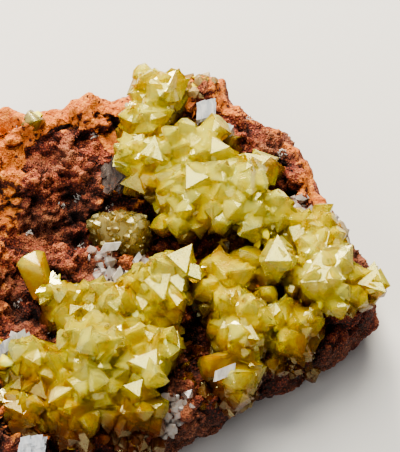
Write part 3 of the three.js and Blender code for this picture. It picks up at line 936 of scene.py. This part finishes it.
def relief_tree(material):
    """Lumps, pits and grit on the rock's skin.

    The attribute relief keeps how proud each point is, which also sets the painted shade in the
    pits, rim how near the dusted rim, and the last attribute how near the crystals it lies, where
    the rock is darkened as painted shade and manganese stain.
    """
    tree, add, given = new_tree(
        "limonite_relief", {"Object": ("Crystals",), "Float": ("Lump", "Rise", "Pit")}
    )
    place = add("InputPosition")
    wander = add("TexNoise", mottle(place, 3.5, 3.0, 0.5)).outputs["Color"]
    shift = add("VectorMath", {0: wander, "Scale": 2.2 * MM}, operation="SCALE")
    warped = add("VectorMath", (place, shift), operation="ADD")
    # Lumps of three sizes, each a rounded cell.
    lumps = 0.0
    for share, height in ((1.0, 1.0), (0.45, 0.55), (0.2, 0.26)):
        scale = add("Math", (1 / share, given["Lump"]), operation="DIVIDE")
        cell = add("TexVoronoi", {"Vector": warped, "Scale": scale}).outputs["Distance"]
        dome = add("Math", (cell, 2.0), operation="POWER")
        dome = add("Math", (dome, -1.9 * height, 0.5 * height), operation="MULTIPLY_ADD")
        lumps = add("Math", (lumps, dome), operation="ADD")
    rough = add("TexNoise", mottle(place, 2.4, 7.0, 0.68))
    sunk = weighted(add, (add("MapRange", (rough, 0.5, 0.3)), given["Pit"]))
    offset = weighted(add, (lumps, given["Rise"]), (sunk, -1.0))

    # Outer walls on the far sides of the rock have a smooth, dusted rim.
    outward = add("InputNormal")
    axes = add("SeparateXYZ", (place,)).outputs
    facing = add("SeparateXYZ", (outward,)).outputs
    away = add("VectorMath", (place, (1, 1, 0)), operation="MULTIPLY")
    away = add("VectorMath", (away, outward), operation="DOT_PRODUCT").outputs["Value"]
    wall = all_hold(
        add, (away, "GREATER_THAN", 8 * MM), (facing["Z"], "LESS_THAN", 0.4),
        (facing["Y"], "GREATER_THAN", -0.15), (axes["Z"], "GREATER_THAN", 9 * MM),
    )
    walls = add(
        "SeparateGeometry", {"Geometry": given["Geometry"], "Selection": wall}, domain="FACE"
    )
    reach = add("Proximity", {"Geometry": walls}, target_element="FACES")
    ragged = weighted(add, (rough, 4 * MM), (reach.outputs["Distance"], 1.0))
    rim = add("MapRange", (ragged, 5.5 * MM, 2.5 * MM))
    wide = add("MapRange", (axes["X"], -1 * MM, -8 * MM, 0.0, 2.8 * MM))
    dusty = weighted(add, (wide, -1.0), (ragged, 1.0))
    dusty = add("MapRange", (dusty, 6.5 * MM, 2.5 * MM))

    # Every outer wall is calmer than the ground inside, but the far walls are broken rock low down.
    outer, steep, low, far, off_back = (
        add("MapRange", limits)
        for limits in (
            (away, 5 * MM, 12 * MM), (facing["Z"], 0.7, 0.3), (axes["Z"], 11 * MM, 6 * MM),
            (facing["Y"], -0.1, 0.3), (axes["Z"], 0.4 * MM, 3 * MM),
        )
    )
    whole = add("MapRange", (weighted(add, (low, far)), 0.0, 1.0, 1.0, 0.3))
    walled = weighted(add, (weighted(add, (outer, steep)), whole))
    calm = off_back
    for near, share in ((rim, 0.25), (walled, 0.35)):
        calm = weighted(add, (calm, add("MapRange", (near, 0.0, 1.0, 1.0, share))))
    offset = weighted(add, (offset, calm))

    # Rock round the crystals is darkened: painted shade in the cavities there, and a manganese
    # stain.
    crystals = add("ObjectInfo", {"Object": given["Crystals"]}).outputs["Geometry"]
    gap = add("Proximity", {"Geometry": crystals}, target_element="FACES")
    dark = add("MapRange", (gap.outputs["Distance"], 5.0 * MM, 0.5 * MM))
    proud = add("MapRange", (offset, -1.6 * MM, 1.0 * MM))
    skin = given["Geometry"]
    for name, value in (("relief", proud), ("rim", dusty), ("lining", dark)):
        skin = add(
            "StoreNamedAttribute", {"Geometry": skin, "Name": name, "Value": value},
            data_type="FLOAT", domain="POINT",
        )
    push = add("VectorMath", {0: outward, "Scale": offset}, operation="SCALE")
    moved = add("SetPosition", {"Geometry": skin, "Offset": push})
    return finish_tree(tree, moved, material)


def grain_tree(material, form):
    """Loose grains on the rock's skin. Each keeps the relief of the place where it lies."""
    tree, add, given = new_tree(
        "limonite_grains", {"Float": ("Spacing", "Grain"), "Int": ("Seed",)}
    )
    up = add("SeparateXYZ", (add("InputNormal"),)).outputs["Z"]
    rim = add("InputNamedAttribute", {"Name": "rim"}, data_type="FLOAT")
    inside = all_hold(add, (up, "GREATER_THAN", -0.3), (rim, "LESS_THAN", 0.75))
    points = spread(given["Geometry"], given["Spacing"], 3e6, given["Seed"], inside)
    points = add("DistributePointsOnFaces", points, distribute_method="POISSON")
    turn = {0: (0, 0, 0), 1: (6.28, 6.28, 6.28), "Seed": given["Seed"]}
    turn = add("RandomValue", turn, data_type="FLOAT_VECTOR")
    chance = add("RandomValue", {2: 0.0, 3: 1.0, "Seed": given["Seed"]}).outputs[1]
    chance = add("Math", (chance, 2.0), operation="POWER")
    chance = add("MapRange", (chance, 0.0, 1.0, 0.45, 1.3))
    shape = add("ObjectInfo", {"Object": form}).outputs["Geometry"]
    grains = {
        "Points": points.outputs["Points"], "Instance": shape, "Rotation": turn,
        "Scale": weighted(add, (chance, given["Grain"])),
    }
    return finish_tree(tree, add("InstanceOnPoints", grains), material)


# ---------------------------------------------------------------- operators


class SPECIMEN_OT_limonite(Operator):
    """Grow the rock's lumpy skin and strew its grains"""

    bl_idname = "specimen.limonite"
    bl_label = "Limonite matrix"

    def execute(self, context):
        settings = context.scene.limonite
        material = limonite_material(settings)
        skin = voxelled(copy_of("limonite_skin", "limonite_matrix"), settings.cell)
        crystals = copy_of("all_crystals", *OUTGROWTHS, "middle_crystals", *LONE_NODES)
        values = {"Crystals": crystals, **values_in(settings, "lump", "rise", "pit")}
        grown(skin, relief_tree(material), values)
        skin.data.shade_smooth()
        stand_on_rock(skin, "limonite", "limonite_matrix")

        grain = dented_ball("grain", 1, 0.5, 0.75, (0.5, 2.3), flatness=0.8)
        grains = new_piece("limonite_grains", skin.data.copy())
        values = {"Spacing": settings.grain_spacing, "Grain": settings.grain, "Seed": settings.seed}
        grown(grains, grain_tree(material, grain), values)
        stand_on_rock(grains, "limonite")
        discard(crystals, grain)
        return {"FINISHED"}


class SPECIMEN_OT_adamite(Operator):
    """Grow the intergrown crystal groups"""

    bl_idname = "specimen.adamite"
    bl_label = "Adamite crystals"

    def execute(self, context):
        settings = context.scene.adamite
        forms = adamite_forms()
        cloud_material("milky_inclusions", settings, 1.0)
        # The dim copy is the same cloud darkened, as painted shade.
        cloud_material("dim_inclusions", settings, 0.88)
        near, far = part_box("arching_crystals")
        # Each group: its glass, how pale it is, its cloud, and how deep that lies in cloud depths.
        for node, glass, pallor, cloud, depth in (
            ("arching_crystals", "glassy_adamite", 0.08, "milky_inclusions", 1.2),
            ("lower_crystals", "clear_adamite", 0.05, "dim_inclusions", 1.4),
        ):
            material = adamite_material(
                glass, settings, tints_of(settings), 1.0, pallor, clearness=0.7
            )
            piece, body = copy_of("grown_" + node, node), rounded(node)
            places = places_on(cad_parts[node], OUTGROWTHS[node])
            values = {
                "Body": body, "Outgrowths": places, "Ceiling": CEILING,
                "Bare Up To": near[0] + BARE_SHARE * (far[0] - near[0]),
                **values_in(settings, "spacing", "smallest", "largest"),
                **values_in(settings, "fine", "lean", "reach", "seed"),
            }
            grown(piece, crystal_tree(material, forms), values)
            stand_on_rock(piece, "adamite", node)
            cloudy_core(piece, "cloud_" + node, cloud, GROUP_CELL, depth * settings.cloud_depth)
            discard(body, places)
        discard(*forms)
        return {"FINISHED"}


class SPECIMEN_OT_lone(Operator):
    """Soften the two crystals that stand alone"""

    bl_idname = "specimen.lone"
    bl_label = "Lone crystals"

    def execute(self, context):
        settings = context.scene.adamite
        for node, tints, pallor in zip(LONE_NODES, (settings, context.scene.frosted), (-0.7, 0.2)):
            body = rounded(node)
            piece = new_piece("barrel_" + node, mesh_after(body))
            material = adamite_material(
                "glassy_" + node, settings, tints_of(tints), 0.0, pallor, frost=(0.25, 0.5)
            )
            piece.data.materials.append(material)
            stand_on_rock(piece, "adamite", node)
            cloudy_core(piece, "cloud_" + node, "milky_inclusions", LONE_CELL, settings.cloud_depth)
            discard(body)
        return {"FINISHED"}


class SPECIMEN_OT_dome(Operator):
    """Round off the frosted dome in the middle"""

    bl_idname = "specimen.dome"
    bl_label = "Frosted dome"

    def execute(self, context):
        settings, adamite = context.scene.frosted, context.scene.adamite
        forms = adamite_forms()
        body = rounded("middle_crystals")
        piece = new_piece("frosted_dome", mesh_after(body))
        material = adamite_material(
            "frosted_adamite", adamite, tints_of(settings), 0.8, 0.5, frost=(0.25, 0.45)
        )
        values = {
            "Body": body, "Ceiling": CAD_BOX[1][2], "Bare Up To": NOWHERE, "Seed": adamite.seed,
            **values_in(settings, "spacing", "smallest", "largest", "fine", "lean"),
        }
        grown(piece, crystal_tree(material, forms), values)
        stand_on_rock(piece, "adamite", "middle_crystals")
        cloudy_core(piece, "cloud_dome", "dim_inclusions", LONE_CELL, adamite.cloud_depth)
        discard(body, *forms)
        return {"FINISHED"}


class SPECIMEN_OT_druse(Operator):
    """Grow the druses of fine crystals on the rock, and stand the single pieces"""

    bl_idname = "specimen.druse"
    bl_label = "Druses"

    def execute(self, context):
        settings, calcite = context.scene.druse, context.scene.calcite
        skin = bpy.data.objects["limonite_skin"]
        forms = adamite_forms()
        shard, prism = rock_shard(), cleavage_prism()
        knob = dented_ball("knob", 4, 1.0, 0.9, (0.35, 2.5), (0.15, 7))
        tints = calcite.colourless_shade, calcite.colourless
        colourless = calcite_material("colourless_crystal", *tints, density=6.0, clearness=0.68)
        adamite = context.scene.adamite
        crusted = adamite_material(
            "crusted_adamite", adamite, tints_of(settings), 0.4, 0.3, clearness=0.5
        )
        tints = calcite.splinter_shade, calcite.splinter
        splinter = calcite_material("calcite_splinter", *tints, density=10.0, clearness=0.4)
        rock = bpy.data.materials["earthy_limonite"]
        # Each kind: its material, its forms and the record's finish.
        kinds = {
            "yellow": (bpy.data.materials["glassy_adamite"], forms, "adamite"),
            "colourless": (colourless, forms, "adamite"),
            "crust": (crusted, forms, "adamite"),
            "prism": (splinter, [prism], "white_calcite"),
            "shard": (rock, [shard], "limonite"),
            "knob": (rock, [knob], "limonite"),
        }
        for name, kind, spots, reach, smallest, largest, lift in DRUSES:
            material, shapes, slot = kinds[kind]
            places = places_on(skin, spots)
            piece = new_piece(name, skin.data.copy())
            # Crystals stand closer together than they are wide, so they run into each other.
            values = {
                "Places": places, "Reach": reach * MM,
                "Spacing": 1.1 * smallest * MM + 0.4 * largest * MM,
                "Smallest": smallest * MM, "Largest": largest * MM, "Lift": lift,
                "Ceiling": CEILING,
                **values_in(settings, "lean", "seed"),
            }
            grown(piece, druse_tree(material, shapes), values)
            stand_on_rock(piece, slot)
            if kind in ("yellow", "crust"):
                cloudy_core(piece, "cloud_" + name, "dim_inclusions", DRUSE_CELL, DRUSE_CLOUD_DEPTH)
            discard(places)
        for name, kind, below, spot, size, lift, turn in SINGLES:
            material, shapes, slot = kinds[kind]
            places = places_on(bpy.data.objects[below], (spot,))
            middle = places.data.vertices[0].co + Vector((0, 0, lift * size * MM))
            piece = new_piece(name, shapes[0].data.copy())
            scale = Vector((1, 1, 1)) * size * MM
            piece.data.transform(Matrix.LocRotScale(middle, Euler(turn), scale))
            piece.data.materials.append(material)
            relief = piece.data.attributes.new("relief", "FLOAT", "POINT")
            relief.data.foreach_set("value", [PROUD] * len(piece.data.vertices))
            stand_on_rock(piece, slot)
            discard(places)
        discard(*forms, shard, knob, prism)
        return {"FINISHED"}


class SPECIMEN_OT_calcite(Operator):
    """Dress the calcite fragments"""

    bl_idname = "specimen.calcite"
    bl_label = "Calcite"

    def execute(self, context):
        settings = context.scene.calcite
        tints = settings.white_shade, settings.white
        white = calcite_material("white_calcite", *tints, density=10.0, clearness=0.35)
        tints = settings.grey_shade, settings.grey
        grey = calcite_material("grey_calcite", *tints, density=90.0, clearness=0.75)
        # Each fragment: its finish, its material and its coarsest step.
        for node, slot, material, greatest in (
            ("white_calcite_back", "white_calcite", white, settings.greatest),
            ("white_calcite_rim", "white_calcite", white, settings.greatest),
            ("white_calcite_left", "white_calcite", white, settings.broken),
            ("white_calcite_near", "white_calcite", white, settings.broken),
            ("grey_calcite", "grey_calcite", grey, settings.greatest),
        ):
            piece = copy_of("cleaved_" + node, node)
            low, high = (Vector(corner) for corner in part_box(node))
            values = {
                "Centre": tuple((low + high) / 2), "Spacing": STEP_SPACING * (high - low).length,
                "Greatest": greatest, **values_in(settings, "least", "seed"),
            }
            grown(piece, cleavage_tree(material), values)
            stand_on_rock(piece, slot, node)
        return {"FINISHED"}


class SPECIMEN_OT_stage(Operator):
    """Set up the floor, the softboxes and the camera"""

    bl_idname = "specimen.stage"
    bl_label = "Stage"

    def execute(self, context):
        settings = context.scene.studio
        scene = context.scene
        bpy.ops.mesh.primitive_plane_add(size=4)
        floor = context.object
        floor.name = "floor"
        # Uncoated card: matt, with no sheen to draw the eye.
        material, add, place = new_material("pale_paper")
        finish_material(add, {"Base Color": (*settings.floor, 1), "Roughness": 0.8})
        floor.data.materials.append(material)

        scene.world = bpy.data.worlds.new("soft_room")
        scene.world.use_nodes = True
        room = scene.world.node_tree.nodes["Background"].inputs
        room["Color"].default_value = (*settings.room, 1)
        room["Strength"].default_value = settings.strength

        aim = Vector(settings.aim)
        toward = Vector((0, -math.cos(settings.elevation), math.sin(settings.elevation)))
        beyond = Vector((0, -toward.y, toward.z))
        # Each softbox: its place from the specimen, its width in metres, its power in watts and
        # its colour.
        for name, place, width, power, tint in (
            ("key", 0.45 * beyond, 0.28, 3.25, settings.key),
            ("rake", Vector((-0.12, 0.42, 0.2)), 0.14, 4.2, settings.rake),
            ("fill", Vector((-0.3, -0.25, 0.3)), 0.4, 1.4, settings.fill),
        ):
            light = bpy.data.lights.new(name, "AREA")
            light.color, light.shape, light.size, light.energy = tint, "SQUARE", width, power
            lamp = new_piece(name, light)
            lamp.location = aim + place
            lamp.rotation_euler = place.to_track_quat("Z", "Y").to_euler()

        scene.view_settings.view_transform = "AgX"
        scene.view_settings.look = "AgX - Medium High Contrast"
        camera = scene.camera = new_piece("camera", bpy.data.cameras.new("camera"))
        camera.data.lens = settings.lens
        camera.data.clip_start = 0.01
        half_view = math.atan(camera.data.sensor_width / 2 / settings.lens)
        camera.location = aim + toward * (settings.field / 2 / math.tan(half_view))
        camera.rotation_euler = toward.to_track_quat("Z", "Y").to_euler()
        return {"FINISHED"}


class SPECIMEN_PT_panel(Panel):
    """The specimen's pieces and their sizes"""

    bl_idname = "SPECIMEN_PT_panel"
    bl_label = "Adamite specimen"
    bl_space_type = "VIEW_3D"
    bl_region_type = "UI"
    bl_category = "Specimen"

    def draw(self, context):
        for operator in OPERATORS:
            self.layout.operator(operator.bl_idname)
        for name, settings in SETTINGS.items():
            group = getattr(context.scene, name)
            box = self.layout.box()
            for prop in settings.__annotations__:
                box.prop(group, prop)


SETTINGS = {
    "limonite": LimoniteSettings, "adamite": AdamiteSettings, "frosted": FrostedSettings,
    "druse": DruseSettings, "calcite": CalciteSettings, "studio": StudioSettings,
}
OPERATORS = (
    SPECIMEN_OT_limonite, SPECIMEN_OT_adamite, SPECIMEN_OT_lone, SPECIMEN_OT_dome,
    SPECIMEN_OT_druse,
    SPECIMEN_OT_calcite, SPECIMEN_OT_stage,
)
CLASSES = (*SETTINGS.values(), *OPERATORS, SPECIMEN_PT_panel)


def register():
    for cls in CLASSES:
        bpy.utils.register_class(cls)
    for name, settings in SETTINGS.items():
        setattr(bpy.types.Scene, name, PointerProperty(type=settings))


def unregister():
    for name in SETTINGS:
        delattr(bpy.types.Scene, name)
    for cls in reversed(CLASSES):
        bpy.utils.unregister_class(cls)


def main():
    register()
    bpy.ops.specimen.limonite()
    bpy.ops.specimen.adamite()
    bpy.ops.specimen.lone()
    bpy.ops.specimen.dome()
    bpy.ops.specimen.druse()
    bpy.ops.specimen.calcite()
    bpy.ops.specimen.stage()


if __name__ == "__main__":
    main()
